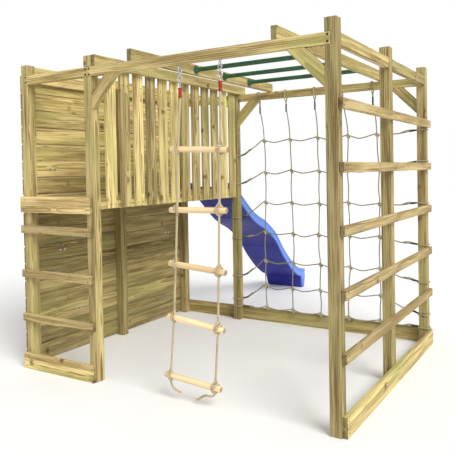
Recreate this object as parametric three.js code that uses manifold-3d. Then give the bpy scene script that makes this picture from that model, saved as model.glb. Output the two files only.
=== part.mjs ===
// Wooden climbing frame with a wavy slide, in millimetres, +Z up.
// A boarded play tower stands on the left and a monkey-bar bay on the right; both stand on the ground plane.
// While it is built, X runs right from the outer face of the left posts, Y runs back from the front faces of the
// front posts, and Z runs up from the ground. The finished group is centred on its footprint at the end.
import * as THREE from 'three';
import { mergeVertices } from 'three/addons/utils/BufferGeometryUtils.js';
import Module from 'manifold-3d';

const wasm = await Module();
wasm.setup();

// Driving dimensions
const fit = 0.3;              // clearance where two pieces meet
const post = 65;              // side of a square post
const postHeight = 2110;
const towerClear = 536;       // between the tower's front posts
const bayClear = 1592;        // between the bay's front posts
const depthClear = 1750;      // between front and rear posts
const sidePostBack = 897;     // front face to the middle post of the right side
const wallPostBack = 922;     // front face to the middle post of the left wall
const beamThick = 38;
const beamTall = 62;
const railThick = 35;         // rails that lie on top of the beams
const railTall = 73;
const railOverhang = 42;      // past the rear posts
const wallRailTall = 115;
const braceLeg = 215;
const braceCut = 105;         // length of a brace's cut end
const boardThick = 27;
const boardTall = 54;         // climbing boards and tower rungs
const groundTall = 110;
const boardStart = 10;        // climbing boards stop this far inside the corner posts' outer faces
const climbFirst = 400;      // ground to the lowest climbing board's middle
const climbHead = 295;        // beam to the highest one's middle
const climbCount = 5;
const rungFirst = 358;        // ground to the lowest tower rung's middle
const rungHead = 118;         // fascia to the highest one's middle
const rungCount = 3;
const rungProud = 7;          // rungs pass the left post, to cover the cladding's ends
const claddingThick = 18;
const claddingHead = 64;      // the tongue-and-groove boards stop this far below the post tops
const claddingCount = 17;
const claddingFoot = 6;
const groove = 5;
const deckHeight = 1190;
const deckThick = 20;
const deckBoard = 112;
const deckGap = 4;
const joistTall = 52;
const fasciaRise = 10;        // fascia above the deck
const fasciaTall = 110;
const slatWide = 97;
const slatFront = 66;         // front post to the first slat
const slatRear = 25;          // last slat to the rear post
const slatThick = 18;
const slatCount = 12;
const slatDrop = 72;          // slats reach this far below the deck
const slatHead = 10;          // and stop this far below the post tops
const slatRailTall = 54;
const monkeyLeft = 302;       // tower post to the left monkey rail
const monkeyRight = 264;      // right monkey rail to the corner post
const barRadius = 16;
const barFlange = 31;
const barFlangeThick = 4;
const barDrop = 37;           // bar centre below the rail's top
const barFirst = 315;         // front of the frame to the first bar
const barLast = 422;          // last bar to the back of the frame
const barCount = 4;
const slideWide = 470;
const slideWall = 30;
const slideSkin = 14;
const slideRim = 85;          // rim above the bed
const slideRun = 1690;
const slideLap = 90;          // the slide's head lies this far onto the deck
const slideRise = 230;        // the rims rise to their full height over this length
const slideFoot = 62;
const ladderX = 825;          // tower post to the ladder's middle
const ropeSpacing = 277;
const ropeRadius = 7;
const ladderRungRadius = 17.5;
const ladderRungLength = 395;
const ladderFirst = 468;      // hinge line to the first rung
const ladderFoot = 128.3;     // ground to the last rung
const ladderCount = 5;
const netRope = 5;
const netFirst = 259;         // rear tower post to the first upright rope
const netLast = 313;          // last upright rope to the rear corner post
const netLow = 128;           // ground to the lowest row
const netTall = 1847;         // lowest row to the beam, as the net is made
const netColumns = 5;
const netSlant = 32;          // the upright ropes reach the beam this far to the left

// Derived places
const xB = post + towerClear;
const xBr = xB + post;
const xC = xBr + bayClear;
const width = xC + post;
const yRear = post + depthClear;
const depth = yRear + post;
const beamTop = postHeight - railTall;
const beamLow = beamTop - beamTall;
const rearBeamY = depth - beamThick;
const slatX = xBr - slatThick;
const fasciaLow = deckHeight + fasciaRise - fasciaTall;
const evenly = (low, high, count) => (high - low) / (count - 1);
const climbPitch = evenly(climbFirst, beamLow - climbHead, climbCount);
const rungPitch = evenly(rungFirst, fasciaLow - rungHead, rungCount);
const claddingCover = (postHeight - claddingHead - claddingFoot) / claddingCount;
const slatPitch = evenly(post + slatFront, yRear - slatRear - slatWide, slatCount);
const barPitch = evenly(barFirst, depth - barLast, barCount);
const netPitch = evenly(netFirst, bayClear - netLast, netColumns);

const wood = (color) => new THREE.MeshStandardMaterial({ color, roughness: 0.75, metalness: 0 });
const pine = wood(0xcdb982);
const warmPine = wood(0xd7b47d);
const beech = wood(0xebc8a0);
const greenPaint = new THREE.MeshStandardMaterial({ color: 0x0a4b1e, roughness: 0.3, metalness: 0 });
const bluePlastic = new THREE.MeshStandardMaterial({ color: 0x2d2d96, roughness: 0.35, metalness: 0 });
const redPlastic = new THREE.MeshStandardMaterial({ color: 0xaf282d, roughness: 0.4, metalness: 0 });
const zinc = new THREE.MeshStandardMaterial({ color: 0x9a9a98, roughness: 0.35, metalness: 1 });
const rope = new THREE.MeshStandardMaterial({ color: 0xc8b48c, roughness: 0.95, metalness: 0 });
const netCord = new THREE.MeshStandardMaterial({ color: 0x828269, roughness: 0.95, metalness: 0 });

const frame = new THREE.Group();

function add(parent, name, geometry, material) {
  const mesh = new THREE.Mesh(geometry, material);
  mesh.name = name;
  parent.add(mesh);
  return mesh;
}

// Geometry of a box between two corners
function block(x0, x1, y0, y1, z0, z1) {
  const g = new THREE.BoxGeometry(x1 - x0, y1 - y0, z1 - z0);
  return g.translate((x0 + x1) / 2, (y0 + y1) / 2, (z0 + z1) / 2);
}

// Geometry of a cylinder between two points
function rod(a, b, radius, sides = 12) {
  const axis = new THREE.Vector3().subVectors(b, a);
  const g = new THREE.CylinderGeometry(radius, radius, axis.length(), sides);
  g.applyQuaternion(new THREE.Quaternion().setFromUnitVectors(new THREE.Vector3(0, 1, 0), axis.clone().normalize()));
  return g.translate((a.x + b.x) / 2, (a.y + b.y) / 2, (a.z + b.z) / 2);
}

// Three.js geometry to a manifold solid and back
function solid(geometry) {
  const g = (geometry.index ? geometry.toNonIndexed() : geometry).clone();
  g.deleteAttribute('normal');
  g.deleteAttribute('uv');
  const merged = mergeVertices(g, 1e-4);
  return new wasm.Manifold(new wasm.Mesh({
    numProp: 3,
    vertProperties: new Float32Array(merged.attributes.position.array),
    triVerts: new Uint32Array(merged.index.array),
  }));
}

function geometryOf(manifold) {
  const mesh = manifold.getMesh();
  const g = new THREE.BufferGeometry();
  g.setAttribute('position', new THREE.BufferAttribute(new Float32Array(mesh.vertProperties), 3));
  g.setIndex(new THREE.BufferAttribute(new Uint32Array(mesh.triVerts), 1));
  g.computeVertexNormals();
  return g;
}

const join = (geometries) => geometryOf(geometries.map(solid).reduce((sum, s) => sum.add(s)));
const cut = (geometry, tools) => geometryOf(tools.map(solid).reduce((rest, s) => rest.subtract(s), solid(geometry)));

// Posts. Front and rear beams are let in flush, so corner posts are notched on their inner half only.
function addPost(name, x, y, notches) {
  const tools = notches.map(([side, face]) => {
    const x0 = side === 'right' ? x + post / 2 : x - 1;
    const x1 = side === 'left' ? x + post / 2 : x + post + 1;
    const y0 = face === 'front' ? y - 1 : y + post - beamThick - fit;
    const y1 = face === 'front' ? y + beamThick + fit : y + post + 1;
    return block(x0, x1, y0, y1, beamLow - fit, beamTop + fit);
  });
  const stock = block(x, x + post, y, y + post, 0, postHeight);
  add(frame, name, tools.length ? cut(stock, tools) : stock, pine);
}
addPost('post_front_left', 0, 0, [['right', 'front']]);
addPost('post_front_middle', xB, 0, [['both', 'front']]);
addPost('post_front_right', xC, 0, [['left', 'front']]);
addPost('post_side_right', xC, sidePostBack, []);
addPost('post_rear_right', xC, yRear, [['left', 'rear']]);
addPost('post_rear_middle', xB, yRear, [['both', 'rear']]);
addPost('post_rear_left', 0, yRear, [['right', 'rear']]);
addPost('post_wall_left', 0, wallPostBack, []);

// Front and rear beams meet end to end on the middle posts
function addBeams(place, y) {
  const ends = [post / 2 + fit, xB + post / 2 - fit / 2, xB + post / 2 + fit / 2, xC + post / 2 - fit];
  add(frame, `beam_${place}_tower`, block(ends[0], ends[1], y, y + beamThick, beamLow, beamTop), pine);
  add(frame, `beam_${place}_bay`, block(ends[2], ends[3], y, y + beamThick, beamLow, beamTop), pine);
}
addBeams('front', 0);
addBeams('rear', rearBeamY);

// Side beams and wall rails fill the gaps between the side posts
function between(name, x0, x1, y0, y1, z0, z1) {
  add(frame, name, block(x0, x1, y0 + fit, y1 - fit, z0, z1), pine);
}
between('beam_right_front', width - beamThick, width, post, sidePostBack, beamLow, beamTop);
between('beam_right_rear', width - beamThick, width, sidePostBack + post, yRear, beamLow, beamTop);
between('wall_rail_front', 0, railThick, post, wallPostBack, postHeight - wallRailTall, postHeight);
between('wall_rail_rear', 0, railThick, wallPostBack + post, yRear, postHeight - wallRailTall, postHeight);

// Rails that lie across the front and rear beams
function addRail(name, x, y1) {
  add(frame, name, block(x, x + railThick, 0, y1, beamTop + fit, beamTop + fit + railTall), pine);
}
const monkeyX0 = xBr + monkeyLeft;
const monkeyX1 = xC - monkeyRight - railThick;
addRail('rail_tower_side', xBr + fit, depth + railOverhang);
addRail('rail_monkey_left', monkeyX0, depth);
addRail('rail_monkey_right', monkeyX1, depth);

// Monkey bars: a tube between two round flanges
function addMonkeyBar(index) {
  const y = barFirst + barPitch * index;
  const z = postHeight - barDrop;
  const x0 = monkeyX0 + railThick + fit;
  const x1 = monkeyX1 - fit;
  const at = (x) => new THREE.Vector3(x, y, z);
  add(frame, `monkey_bar_${index + 1}`, join([
    rod(at(x0), at(x1), barRadius, 16),
    rod(at(x0), at(x0 + barFlangeThick), barFlange, 20),
    rod(at(x1 - barFlangeThick), at(x1), barFlange, 20),
  ]), greenPaint);
}
for (let i = 0; i < barCount; i += 1) addMonkeyBar(i);

// Knee braces, cut square to the post and to the beam
function addBrace(name, x, side, y) {
  const outline = new THREE.Shape([
    new THREE.Vector2(side * fit, -braceLeg),
    new THREE.Vector2(side * braceLeg, -fit),
    new THREE.Vector2(side * (braceLeg - braceCut), -fit),
    new THREE.Vector2(side * fit, braceCut - braceLeg),
  ]);
  const g = new THREE.ExtrudeGeometry(outline, { depth: beamThick, bevelEnabled: false });
  g.rotateX(Math.PI / 2).translate(x, y + beamThick, beamLow);
  add(frame, name, g, pine);
}
addBrace('brace_front_middle', xBr, 1, fit);
addBrace('brace_front_right', xC, -1, fit);
addBrace('brace_rear_middle', xBr, 1, rearBeamY - fit);
addBrace('brace_rear_right', xC, -1, rearBeamY - fit);

// Right side: climbing boards over a ground board
const sideBoard = (z0, z1) => block(width + fit, width + fit + boardThick, boardStart, depth - boardStart, z0, z1);
for (let i = 0; i < climbCount; i += 1) {
  const z = climbFirst + climbPitch * i;
  add(frame, `climb_board_${i + 1}`, sideBoard(z - boardTall / 2, z + boardTall / 2), warmPine);
}
add(frame, 'ground_board_right', sideBoard(0, groundTall), pine);

// Tower front: rungs, the fascia over the deck's edge and a ground board
const frontBoard = (z0, z1) => block(-rungProud, xBr - boardStart, -boardThick - fit, -fit, z0, z1);
for (let i = 0; i < rungCount; i += 1) {
  const z = rungFirst + rungPitch * i;
  add(frame, `tower_rung_${i + 1}`, frontBoard(z - boardTall / 2, z + boardTall / 2), warmPine);
}
add(frame, 'fascia_front', frontBoard(fasciaLow, fasciaLow + fasciaTall), warmPine);
add(frame, 'ground_board_front', frontBoard(0, groundTall), pine);
add(frame, 'ground_board_rear',
  block(-rungProud, width + rungProud, depth + fit, depth + fit + boardThick, 0, groundTall), pine);

// Left wall: one run of tongue-and-groove boards with a V groove at each joint, on both faces
function addCladding() {
  const height = claddingCover * claddingCount;
  const inner = [];
  const outer = [];
  for (let i = 1; i < claddingCount; i += 1) {
    const z = claddingCover * i;
    inner.push([0, z - groove], [-groove, z], [0, z + groove]);
    outer.unshift([-claddingThick, z + groove], [groove - claddingThick, z], [-claddingThick, z - groove]);
  }
  const points = [[-claddingThick, 0], [0, 0], ...inner, [0, height], [-claddingThick, height], ...outer];
  const g = new THREE.ExtrudeGeometry(new THREE.Shape(points.map(([x, z]) => new THREE.Vector2(x, z))),
    { depth, bevelEnabled: false });
  g.rotateX(Math.PI / 2).translate(-fit, depth, claddingFoot);
  add(frame, 'wall_cladding', g, pine);
}
addCladding();

// Deck: boards across the tower on two battens, notched round the wall post
const deckLow = deckHeight - deckThick;
function addDeck() {
  const length = rearBeamY - fit;
  const count = Math.round((length + deckGap) / (deckBoard + deckGap));
  const pitch = (length + deckGap) / count;
  const parts = [];
  for (let i = 0; i < count; i += 1) {
    const y0 = fit + pitch * i;
    const y1 = y0 + pitch - deckGap;
    parts.push(block(fit, slatX - fit, y0, y1, deckLow, deckHeight));
  }
  for (const part of [0.36, 0.64]) {
    const x = towerClear * part + post;
    parts.push(block(x - 30, x + 30, beamThick * 2, rearBeamY - beamThick, deckLow - 18, deckLow + 1));
  }
  const room = (x, y) => block(x - fit, x + post + fit, y - fit, y + post + fit, deckLow - 5, deckHeight + 5);
  const notched = cut(join(parts), [room(0, 0), room(0, wallPostBack), room(0, yRear), room(xB, 0), room(xB, yRear)]);
  add(frame, 'deck', notched, pine);
}
addDeck();

// Joists in a ring inside the posts, under the deck
function addDeckFrame() {
  const x0 = post + fit;
  const x1 = xB - fit;
  const z1 = deckLow - fit;
  const z0 = z1 - joistTall;
  add(frame, 'deck_frame', cut(block(x0, x1, fit, depth, z0, z1),
    [block(x0 + beamThick, x1 - beamThick, beamThick, depth - beamThick, z0 - 1, z1 + 1)]), pine);
}
addDeckFrame();

// Slatted guard between the tower and the bay: upright slats on two inner rails
function addSlats() {
  const top = postHeight - slatHead;
  const bottom = deckHeight - slatDrop;
  const parts = [];
  for (let i = 0; i < slatCount; i += 1) {
    const y = post + slatFront + slatPitch * i;
    parts.push(block(slatX, xBr, y, y + slatWide, bottom, top));
  }
  const innerRail = (z0) => block(slatX - boardThick, slatX + 1, post + fit, yRear - fit, z0, z0 + slatRailTall);
  parts.push(innerRail(bottom - 4), innerRail(beamLow - slatRailTall));
  const side = cut(join(parts), [block(slatX - boardThick - 1, slatX - fit, 0, depth, deckLow - fit, deckHeight + fit)]);
  add(frame, 'slat_panel', side, pine);
}
addSlats();

// Slide. The bed's side view is a smooth wave: [share of the run, share of the drop] from the deck to the foot.
const wave = [[0, 0], [0.045, 0], [0.09, 0.055], [0.147, 0.137], [0.279, 0.296], [0.36, 0.362], [0.452, 0.425],
  [0.572, 0.546], [0.664, 0.7], [0.773, 0.848], [0.836, 0.913], [0.9, 0.965], [1, 1]];
function addSlide() {
  const head = deckHeight + slideSkin + fit;
  const foot = 124;
  const y0 = depth - slideLap;
  const curve = new THREE.SplineCurve(wave.map(([u, v]) => new THREE.Vector2(y0 + slideRun * u, head - (head - foot) * v)));
  const line = curve.getPoints(44);
  const rise = (y) => 0.3 + 0.7 * THREE.MathUtils.smoothstep(y, y0, y0 + slideRise);
  const band = (low, high, x0, x1) => {
    const upper = line.map((p) => new THREE.Vector2(p.x, p.y + high * rise(p.x)));
    const lower = line.map((p) => new THREE.Vector2(p.x, p.y + low)).reverse();
    const g = new THREE.ExtrudeGeometry(new THREE.Shape([...lower, ...upper]), { depth: x1 - x0, bevelEnabled: false });
    // the side view lies in X-Y of the shape; turn it so that it stands in Y-Z and is pushed along X
    g.applyMatrix4(new THREE.Matrix4().set(0, 0, 1, x0, 1, 0, 0, 0, 0, 1, 0, 0, 0, 0, 0, 1));
    return g;
  };
  const x0 = post + (towerClear - slideWide) / 2;
  const x1 = x0 + slideWide;
  const yEnd = y0 + slideRun;
  add(frame, 'slide', join([
    band(-slideSkin, 0, x0 + 1, x1 - 1),
    band(-slideSkin, slideRim, x0, x0 + slideWall),
    band(-slideSkin, slideRim, x1 - slideWall, x1),
    block(x0, x1, yEnd - slideFoot, yEnd - 0.5, 0, foot - slideSkin / 2),
  ]), bluePlastic);
}
addSlide();

// Rope ladder. Two eye screws stay on the beam; swivel hooks hang from them on one line, which is the swing's axis.
const eyeRadius = 12;
const wire = 3.5;
const ringRadius = 16;
const swivelLength = 16;
const ladderMid = xBr + ladderX;
const ladderY = beamThick / 2;
const eyeZ = beamLow - 24;
const swingZ = eyeZ - eyeRadius + 2 * wire + fit;
const ladderPitch = evenly(ladderFirst, swingZ - ladderFoot, ladderCount);
const ring = (radius, tube, plane) => {
  const g = new THREE.TorusGeometry(radius, tube, 8, 20);
  return plane === 'side' ? g.rotateY(Math.PI / 2) : g.rotateX(Math.PI / 2);
};
const V = (x, y, z) => new THREE.Vector3(x, y, z);
for (const [side, sign] of [['left', -1], ['right', 1]]) {
  const x = ladderMid + sign * ropeSpacing / 2;
  add(frame, `ladder_eye_${side}`, join([
    ring(eyeRadius, wire, 'side').translate(x, ladderY, eyeZ),
    rod(V(x, ladderY, eyeZ + eyeRadius), V(x, ladderY, beamLow - fit), 4.2, 10),
    rod(V(x, ladderY, beamLow - fit - 3), V(x, ladderY, beamLow - fit), 13, 16),
  ]), zinc);
}

// Everything below hangs from the swing axis
const ladder = new THREE.Group();
ladder.position.set(ladderMid, ladderY, swingZ);
frame.add(ladder);
const barrelTop = -2 * eyeRadius + 1;
const ringZ = barrelTop - swivelLength - ringRadius + 1;
for (const [side, sign] of [['left', -1], ['right', 1]]) {
  const x = sign * ropeSpacing / 2;
  add(ladder, `ladder_hook_${side}`, join([
    ring(eyeRadius, wire, 'front').translate(x, 0, -eyeRadius),
    rod(V(x, 0, barrelTop), V(x, 0, barrelTop - swivelLength), 6, 12),
    ring(ringRadius, wire, 'front').translate(x, 0, ringZ),
  ]), zinc);
}

function ropeTube(points, radius, sides = 8, pace = 5) {
  const path = new THREE.CatmullRomCurve3(points.map((p) => V(...p)), false, 'centripetal');
  const section = new THREE.Shape(Array.from({ length: sides }, (_, i) => {
    const a = (i + 0.5) * 2 * Math.PI / sides;
    return new THREE.Vector2(radius * Math.cos(a), radius * Math.sin(a));
  }));
  const steps = Math.round(path.getLength() / (radius * pace));
  return new THREE.ExtrudeGeometry(section, { steps, extrudePath: path, bevelEnabled: false });
}

// Rope ends: a wire bail hangs in the hook's ring, and a red plastic sleeve clamps the rope to it
const bailWire = 2.5;
const bailTop = ringZ - ringRadius + wire + 2 * fit + bailWire;
const sleeveLength = 56;
const sleeveTop = { left: -107, right: -92 };
for (const [side, sign] of [['left', -1], ['right', 1]]) {
  const x = sign * ropeSpacing / 2;
  const top = sleeveTop[side];
  const collar = (z0, z1, r) => rod(V(x, 0, z0), V(x, 0, z1), r, 20);
  add(ladder, `ladder_thimble_${side}`, join([
    ropeTube([[x, -4, top - 8], [x, -5, top + 2], [x, -8.5, bailTop - 14], [x, -7.4, bailTop - 5.5], [x, -4.2, bailTop - 1.2],
      [x, 0, bailTop], [x, 4.2, bailTop - 1.2], [x, 7.4, bailTop - 5.5], [x, 8.5, bailTop - 14], [x, 5, top + 2],
      [x, 4, top - 8]], bailWire, 8, 2),
    collar(top, top - 8, 13),
    collar(top - 6, top - sleeveLength + 6, 10),
    collar(top - sleeveLength + 8, top - sleeveLength, 13),
  ]), redPlastic);
}

// Rungs are tied by hand, so each has its own place: sideways and up from the regular spacing, how far its right end
// droops in degrees, and how far apart its ropes are
const tied = [
  { over: -16, lift: 0, droop: 2.4, apart: 293 },
  { over: -30, lift: -11, droop: -0.4, apart: 293 },
  { over: -44, lift: -7, droop: 4.3, apart: 301 },
  { over: -61, lift: 7, droop: 5.8, apart: 310 },
  { over: -90, lift: 0, droop: 4.2, apart: 316 },
];
const rungZ = (i) => -(ladderFirst + ladderPitch * i) + tied[i].lift;
const droopOf = (i) => THREE.MathUtils.degToRad(tied[i].droop);
const tieAt = (i, sign, down = 0) => {
  const half = sign * tied[i].apart / 2;
  const t = droopOf(i);
  return [tied[i].over + half * Math.cos(t) - down * Math.sin(t), 0, rungZ(i) - half * Math.sin(t) - down * Math.cos(t)];
};

// Rung: a turned beech rod with a hole for each rope
function ladderRung(index) {
  const half = ladderRungLength / 2;
  const hole = (x) => rod(V(x, 0, -ladderRungRadius - 2), V(x, 0, ladderRungRadius + 2), ropeRadius + 2.4, 16);
  const apart = tied[index].apart;
  return cut(rod(V(-half, 0, 0), V(half, 0, 0), ladderRungRadius, 20), [hole(-apart / 2), hole(apart / 2)])
    .rotateY(droopOf(index)).translate(tied[index].over, 0, rungZ(index));
}
for (let i = 0; i < ladderCount; i += 1) add(ladder, `ladder_rung_${i + 1}`, ladderRung(i), beech);

// Upper rope: from the sleeve through two rungs and into the fold rung's hole.
// Lower rope: from under the fold rung through the last two, then a loose tail that turns in towards the middle.
const tails = {
  left: [[0, 0, -26], [2, -1, -40], [9, -4, -54], [22, -8, -66], [40, -10, -75], [58, -9, -82], [76, -6, -88]],
  right: [[0, 0, -22], [-5, -2, -38], [-18, -5, -48], [-36, -8, -51], [-56, -10, -50], [-76, -10, -56], [-94, -8, -69],
    [-111, -6, -81], [-129, -5, -88]],
};
const ropeSpan = (a, b) => [0, 1, 2, 3, 4].map((i) => a.map((v, k) => v + (b[k] - v) * i / 5));
for (const [side, sign] of [['left', -1], ['right', 1]]) {
  const top = [sign * ropeSpacing / 2, 0, sleeveTop[side] - sleeveLength - 1];
  const stops = [top, tieAt(0, sign), tieAt(1, sign), tieAt(2, sign)];
  const upper = [...stops.slice(1).flatMap((stop, i) => ropeSpan(stops[i], stop)), stops[3]];
  add(ladder, `ladder_rope_upper_${side}`, ropeTube(upper, ropeRadius), rope);
  const start = tieAt(2, sign, ladderRungRadius + 0.5);
  const last = tieAt(4, sign);
  const lower = [...ropeSpan(start, tieAt(3, sign)), ...ropeSpan(tieAt(3, sign), last), last];
  const tail = tails[side].map((d) => d.map((v, k) => last[k] + v));
  add(ladder, `ladder_rope_lower_${side}`, ropeTube([...lower, ...tail], ropeRadius), rope);
}

// Climbing net in the rear of the bay: upright ropes looped over the beam, rows tied to the two posts
const netY = depth - beamThick / 2;
function addNet() {
  const stretch = (beamLow - netLow) / netTall;
  const level = (z) => netLow + (z - netLow) * stretch;
  const boardZ = (i) => climbFirst + climbPitch * i;
  // each row's height, and where it is tied to the tower post and to the corner post, clear of deck and boards
  const rows = [
    { z: level(1617), left: level(1487), right: boardZ(4) - 40 },
    { z: level(1338), left: deckHeight + 45, right: boardZ(3) + 40 },
    { z: level(1068), left: deckHeight - 265, right: boardZ(2) + 40 },
    { z: level(803), left: level(742), right: boardZ(1) + 40 },
    { z: level(548), left: level(400), right: boardZ(0) + 72 },
    { z: level(326), left: level(190), right: level(224) },
    { z: netLow, left: netLow - 5, right: groundTall + 14 },
  ];
  const strand = (points) => ropeTube(points, netRope, 6, 24);
  const columnX = (i) => xBr + netFirst + netPitch * i;
  const beamLoop = (x) => {
    const pad = 1 + netRope * 2;
    const outer = block(x - netRope, x + netRope, rearBeamY - pad, depth + pad, beamLow - pad, beamTop + pad);
    return geometryOf(solid(outer).subtract(solid(block(x - 20, x + 20, rearBeamY - 1, depth + 1, beamLow - 1, beamTop + 1))));
  };
  const postLoop = (x, z) => {
    const pad = 1 + netRope * 2;
    const outer = block(x - pad, x + post + pad, yRear - pad, depth + pad, z - netRope, z + netRope);
    return geometryOf(solid(outer).subtract(solid(block(x - 1, x + post + 1, yRear - 1, depth + 1, z - 20, z + 20))));
  };
  const parts = [];
  for (let i = 0; i < netColumns; i += 1) {
    const x = columnX(i);
    parts.push(beamLoop(x - netSlant));
    parts.push(strand([[x - netSlant, netY, beamLow - 2 - netRope], [x - netSlant + 3, netY, level(1880)],
      [x, netY, rows[0].z], [x, netY, netLow]]));
  }
  for (const row of rows) {
    parts.push(postLoop(xB, row.left), postLoop(xC, row.right));
    parts.push(strand([[xBr + netRope, netY, row.left], [xBr + 90, netY, (row.left + row.z) / 2 - 8], [columnX(0), netY, row.z],
      [columnX(2), netY, row.z - 3], [columnX(4), netY, row.z], [xC - 160, netY, (row.right + row.z) / 2 - 6], [xC - netRope, netY, row.right]]));
  }
  add(frame, 'climbing_net', join(parts), netCord);
}
addNet();

// Centre the footprint on the origin, with the ground at zero. Free ropes don't count.
frame.updateMatrixWorld(true);
const box = new THREE.Box3();
frame.traverse((o) => { if (o.isMesh && !o.name.startsWith('ladder_rope')) box.expandByObject(o, true); });
frame.position.set(-(box.min.x + box.max.x) / 2, -(box.min.y + box.max.y) / 2, 0);

export default frame;
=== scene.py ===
# Wooden climbing frame with a wavy slide: the visual model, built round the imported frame.
import bmesh
import bpy
import math
import random
from mathutils import Matrix, Vector


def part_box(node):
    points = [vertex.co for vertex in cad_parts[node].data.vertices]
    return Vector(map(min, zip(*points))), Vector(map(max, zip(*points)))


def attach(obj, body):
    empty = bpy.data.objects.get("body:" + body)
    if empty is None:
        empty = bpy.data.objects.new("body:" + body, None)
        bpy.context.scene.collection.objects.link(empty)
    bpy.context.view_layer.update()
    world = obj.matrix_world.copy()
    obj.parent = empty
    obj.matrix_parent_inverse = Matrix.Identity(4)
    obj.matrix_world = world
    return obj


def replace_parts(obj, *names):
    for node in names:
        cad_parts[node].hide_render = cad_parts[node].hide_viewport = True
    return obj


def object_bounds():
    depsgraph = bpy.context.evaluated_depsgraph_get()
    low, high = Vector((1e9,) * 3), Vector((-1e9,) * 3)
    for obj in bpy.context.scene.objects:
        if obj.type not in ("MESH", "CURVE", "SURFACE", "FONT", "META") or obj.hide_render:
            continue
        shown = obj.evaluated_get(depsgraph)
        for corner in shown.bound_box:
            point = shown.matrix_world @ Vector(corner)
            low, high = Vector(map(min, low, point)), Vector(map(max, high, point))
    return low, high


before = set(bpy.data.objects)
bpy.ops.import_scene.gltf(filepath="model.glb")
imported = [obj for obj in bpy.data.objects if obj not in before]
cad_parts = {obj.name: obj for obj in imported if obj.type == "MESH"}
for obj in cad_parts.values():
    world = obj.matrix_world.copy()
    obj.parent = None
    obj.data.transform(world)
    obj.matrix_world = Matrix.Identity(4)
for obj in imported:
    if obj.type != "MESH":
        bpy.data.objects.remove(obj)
cad_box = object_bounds()
low, high = cad_box
scene = bpy.context.scene
scene.view_settings.view_transform = "Standard"

# Camera: at a standing adult's chest height, in front of the bay's open corner, with its horizon above the middle.
lens = bpy.data.cameras.new("camera")
lens.sensor_width = 36.0
lens.lens = 46.93
lens.shift_x = -0.0044
lens.shift_y = -0.0965
camera = bpy.data.objects.new("camera", lens)
camera.matrix_world = (
    Matrix.Translation((2.226, -4.508, 1.353))
    @ Matrix.Rotation(math.radians(31.51), 4, "Z")
    @ Matrix.Rotation(math.radians(88.80), 4, "X")
    @ Matrix.Rotation(math.radians(-1.05), 4, "Z")
)
scene.collection.objects.link(camera)
scene.camera = camera


# Ladder ropes: laid three-strand rope, 14 mm thick. Two run from the sleeves through the upper rungs, and two hang
# from the fold rung through the last rungs and end in loose tails. They lean a little, as the ladder hangs.
class Wire:
    """A shader socket that can be used in Python sums."""

    def __init__(self, finish, socket):
        self.finish = finish
        self.socket = socket

    def math(self, operation, *values):
        sockets = dict(enumerate(values))
        return self.finish.node("ShaderNodeMath", {"operation": operation}, sockets)

    def __add__(self, other):
        return self.math("ADD", self, other)

    def __radd__(self, other):
        return self.math("ADD", other, self)

    def __sub__(self, other):
        return self.math("SUBTRACT", self, other)

    def __rsub__(self, other):
        return self.math("SUBTRACT", other, self)

    def __mul__(self, other):
        return self.math("MULTIPLY", self, other)

    def __rmul__(self, other):
        return self.math("MULTIPLY", other, self)

    def __truediv__(self, other):
        return self.math("DIVIDE", self, other)

    def __pow__(self, other):
        return self.math("POWER", self, other)

    def of(self, operation):
        return self.math(operation, self)


class Finish:
    """A material, made node by node."""

    def __init__(self, name):
        self.material = bpy.data.materials.new(name)
        self.material.use_nodes = True
        self.tree = self.material.node_tree
        self.tree.nodes.clear()

    def node(self, kind, settings=None, sockets=None, out=0):
        made = self.tree.nodes.new(kind)
        for key, value in (settings or {}).items():
            if key == "stops":
                ramp = made.color_ramp
                while len(ramp.elements) < len(value):
                    ramp.elements.new(0.5)
                for element, (place, colour) in zip(ramp.elements, value):
                    element.position = place
                    element.color = (*colour, 1.0)
            else:
                setattr(made, key, value)
        for key, value in (sockets or {}).items():
            if isinstance(value, Wire):
                self.tree.links.new(value.socket, made.inputs[key])
            elif value is not None:
                made.inputs[key].default_value = value
        return Wire(self, made.outputs[out]) if made.outputs else None

    def attribute(self, name, out="Vector"):
        return self.node("ShaderNodeAttribute", {"attribute_name": name}, out=out)

    def place(self):
        return self.node("ShaderNodeTexCoord", out="Object")

    def scaled(self, vector, by):
        return self.node("ShaderNodeVectorMath", {"operation": "MULTIPLY"}, {0: vector, 1: by})

    def noise(self, vector, scale, detail=2.0, roughness=0.5):
        return self.node("ShaderNodeTexNoise", {}, {"Vector": vector, "Scale": scale, "Detail": detail,
                                                    "Roughness": roughness})

    def fade(self, value, start, end, low=0.0, high=1.0):
        """low at start, high at end, eased between."""
        return self.node(
            "ShaderNodeMapRange",
            {"interpolation_type": "SMOOTHSTEP"},
            {"Value": value, "From Min": start, "From Max": end, "To Min": low, "To Max": high},
        )

    def mix(self, share, a, b, blend="MIX"):
        a, b = ((*c, 1.0) if isinstance(c, tuple) and len(c) == 3 else c for c in (a, b))
        return self.node("ShaderNodeMix", {"data_type": "RGBA", "blend_type": blend}, {0: share, 6: a, 7: b}, out=2)

    def bump(self, height, distance, strength=1.0):
        return self.node("ShaderNodeBump", {}, {"Height": height, "Distance": distance, "Strength": strength})

    def surface(self, **sockets):
        named = {key.replace("_", " "): value for key, value in sockets.items()}
        shader = self.node("ShaderNodeBsdfPrincipled", {}, named)
        self.node("ShaderNodeOutputMaterial", {}, {"Surface": shader})
        return self.material


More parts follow.
